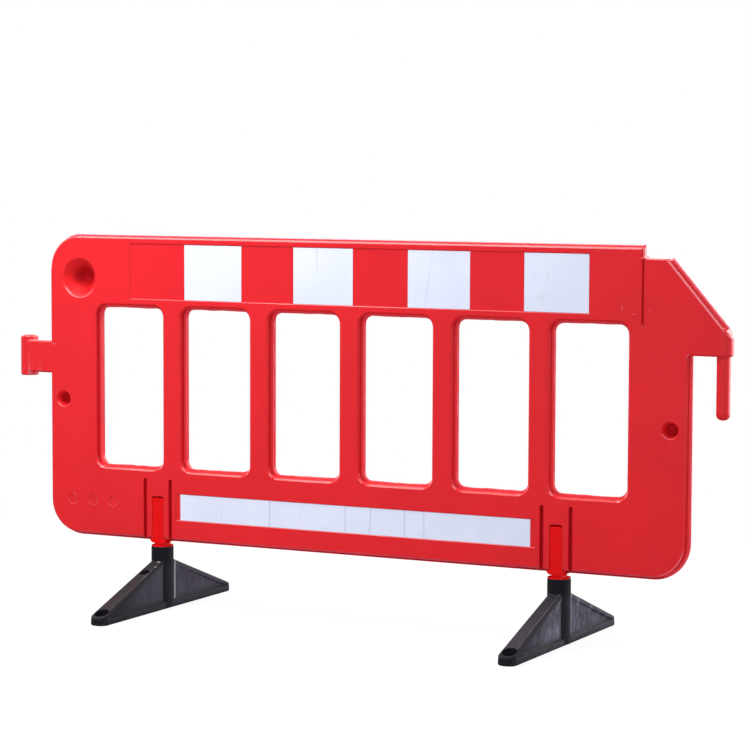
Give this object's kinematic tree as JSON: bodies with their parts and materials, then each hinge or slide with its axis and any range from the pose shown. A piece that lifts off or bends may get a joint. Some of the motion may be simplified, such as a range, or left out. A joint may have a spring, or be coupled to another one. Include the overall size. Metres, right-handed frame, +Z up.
{
  "type": "plastic safety fence",
  "caption": "Hollow moulded pedestrian barrier panel with windows, a drop pin and a link eye at its ends, and reflective films, standing on swivelling rubber feet.",
  "frame": {"origin": "on the ground, under the middle of the fence's length and thickness", "axes": "+X along the fence towards the link pin, -Y towards the front, +Z up"},
  "size_m": [2.048, 0.6596, 1],
  "materials": {
    "panel_plastic": "semi-gloss blow-moulded polyethylene, red",
    "peg_plastic": "semi-gloss injection-moulded plastic, bright red",
    "reflective_film": "smooth white reflective film, slightly creased",
    "foot_rubber": "matt recycled rubber, black, dusty",
    "fastener_steel": "zinc-plated steel"
  },
  "bodies": {
    "fence": {"panel": "panel_plastic", "front_film_1": "reflective_film", "front_film_2": "reflective_film", "front_film_3": "reflective_film", "front_film_4": "reflective_film", "rear_film_1": "reflective_film", "rear_film_2": "reflective_film", "rear_film_3": "reflective_film", "rear_film_4": "reflective_film", "front_strip": "reflective_film", "rear_strip": "reflective_film", "left_peg": "peg_plastic", "left_washer": "fastener_steel", "left_screw": "fastener_steel", "right_peg": "peg_plastic", "right_washer": "fastener_steel", "right_screw": "fastener_steel"},
    "left_foot": {"left_foot": "foot_rubber"},
    "right_foot": {"right_foot": "foot_rubber"}
  },
  "joints": [
    {"name": "left_foot_swivel", "type": "hinge", "parent": "fence", "child": "left_foot", "pos_m": [-0.577, 0, 0.1665], "axis": [0, 0, 1], "continuous": true},
    {"name": "right_foot_swivel", "type": "hinge", "parent": "fence", "child": "right_foot", "pos_m": [0.577, 0, 0.1665], "axis": [0, 0, 1], "continuous": true}
  ]
}
